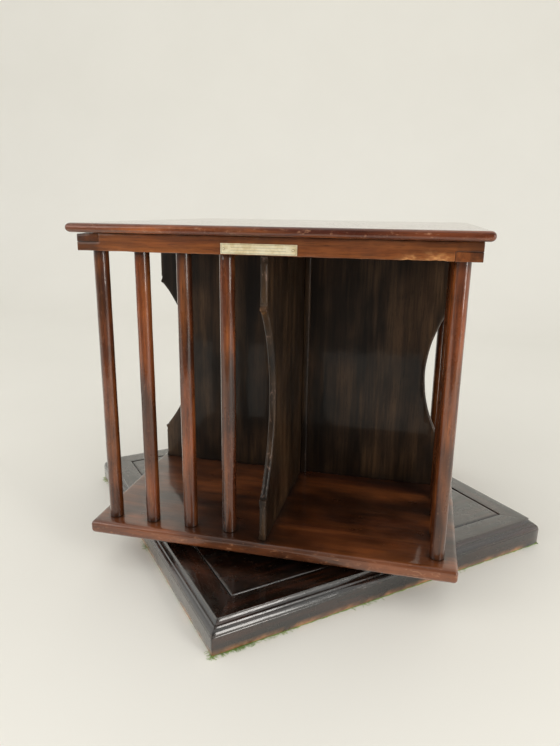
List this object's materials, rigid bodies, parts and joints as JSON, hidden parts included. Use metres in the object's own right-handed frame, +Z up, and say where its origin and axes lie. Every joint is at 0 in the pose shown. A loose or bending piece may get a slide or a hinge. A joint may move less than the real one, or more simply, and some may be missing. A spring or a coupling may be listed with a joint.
{
  "type": "revolving bookcase",
  "caption": "Square table-top revolving bookcase: open bays between round rods and curved dividers, a thin top, and a moulded square base it spins on.",
  "frame": {"origin": "on the turning axis, at the surface that the base stands on", "axes": "+Z up along the turning axis, -Y out of the case's front (the side with the small brass plate), +X to the right seen from the front; the base is turned 41.6 degrees about +Z from the case at rest"},
  "size_m": [0.5252, 0.5252, 0.3255],
  "materials": {
    "top_mahogany": "French-polished mahogany, glossy, red-brown",
    "case_mahogany": "French-polished mahogany, glossy, red-brown, scuffed",
    "rail_mahogany": "worn polished mahogany, orange-brown, dark end grain, chipped lower edge",
    "panel_mahogany": "dark stained mahogany, upright grain, satin, front edges worn grey-pink",
    "dowel_mahogany": "polished mahogany rod, red-brown with dark ends",
    "base_mahogany": "French-polished mahogany, nearly black, very glossy, worn on the corners",
    "brass": "pale aged brass, satin",
    "steel": "dull grey steel",
    "baize": "green wool baize, frayed at its edge"
  },
  "bodies": {
    "base": {"baize_pad": "baize", "base_rail_1": "base_mahogany", "base_rail_2": "base_mahogany", "base_rail_3": "base_mahogany", "base_rail_4": "base_mahogany", "base_panel": "base_mahogany", "lower_race": "steel", "lower_race_screw_1": "steel", "lower_race_screw_2": "steel", "lower_race_screw_3": "steel", "lower_race_screw_4": "steel", "pivot_bolt": "steel", "pivot_washer": "steel", "pivot_nut": "steel"},
    "cage": {"ball_cage": "brass", "ball_1": "steel", "ball_2": "steel", "ball_3": "steel", "ball_4": "steel", "ball_5": "steel", "ball_6": "steel", "ball_7": "steel", "ball_8": "steel"},
    "case": {"bottom_board": "case_mahogany", "centre_post": "panel_mahogany", "front_divider": "panel_mahogany", "right_divider": "panel_mahogany", "back_divider": "panel_mahogany", "left_divider": "panel_mahogany", "dowel_01": "dowel_mahogany", "dowel_02": "dowel_mahogany", "dowel_03": "dowel_mahogany", "dowel_04": "dowel_mahogany", "dowel_05": "dowel_mahogany", "dowel_06": "dowel_mahogany", "dowel_07": "dowel_mahogany", "dowel_08": "dowel_mahogany", "dowel_09": "dowel_mahogany", "dowel_10": "dowel_mahogany", "dowel_11": "dowel_mahogany", "dowel_12": "dowel_mahogany", "dowel_13": "dowel_mahogany", "dowel_14": "dowel_mahogany", "dowel_15": "dowel_mahogany", "dowel_16": "dowel_mahogany", "front_top_rail": "rail_mahogany", "right_top_rail": "rail_mahogany", "back_top_rail": "rail_mahogany", "left_top_rail": "rail_mahogany", "top_board": "top_mahogany", "maker_plate": "brass", "plate_pin_1": "brass", "plate_pin_2": "brass", "upper_race": "steel", "upper_race_screw_1": "steel", "upper_race_screw_2": "steel", "upper_race_screw_3": "steel", "upper_race_screw_4": "steel", "pivot_bush": "brass"}
  },
  "joints": [
    {"name": "case_turn", "type": "hinge", "parent": "base", "child": "case", "pos_m": [0, 0, 0.0315], "axis": [0, 0, 1], "continuous": true},
    {"name": "cage_turn", "type": "hinge", "parent": "base", "child": "cage", "pos_m": [0, 0, 0.0315], "axis": [0, 0, 1], "continuous": true}
  ],
  "couplings": [
    {"joint": "cage_turn", "follows": "case_turn", "ratio": 0.5}
  ]
}
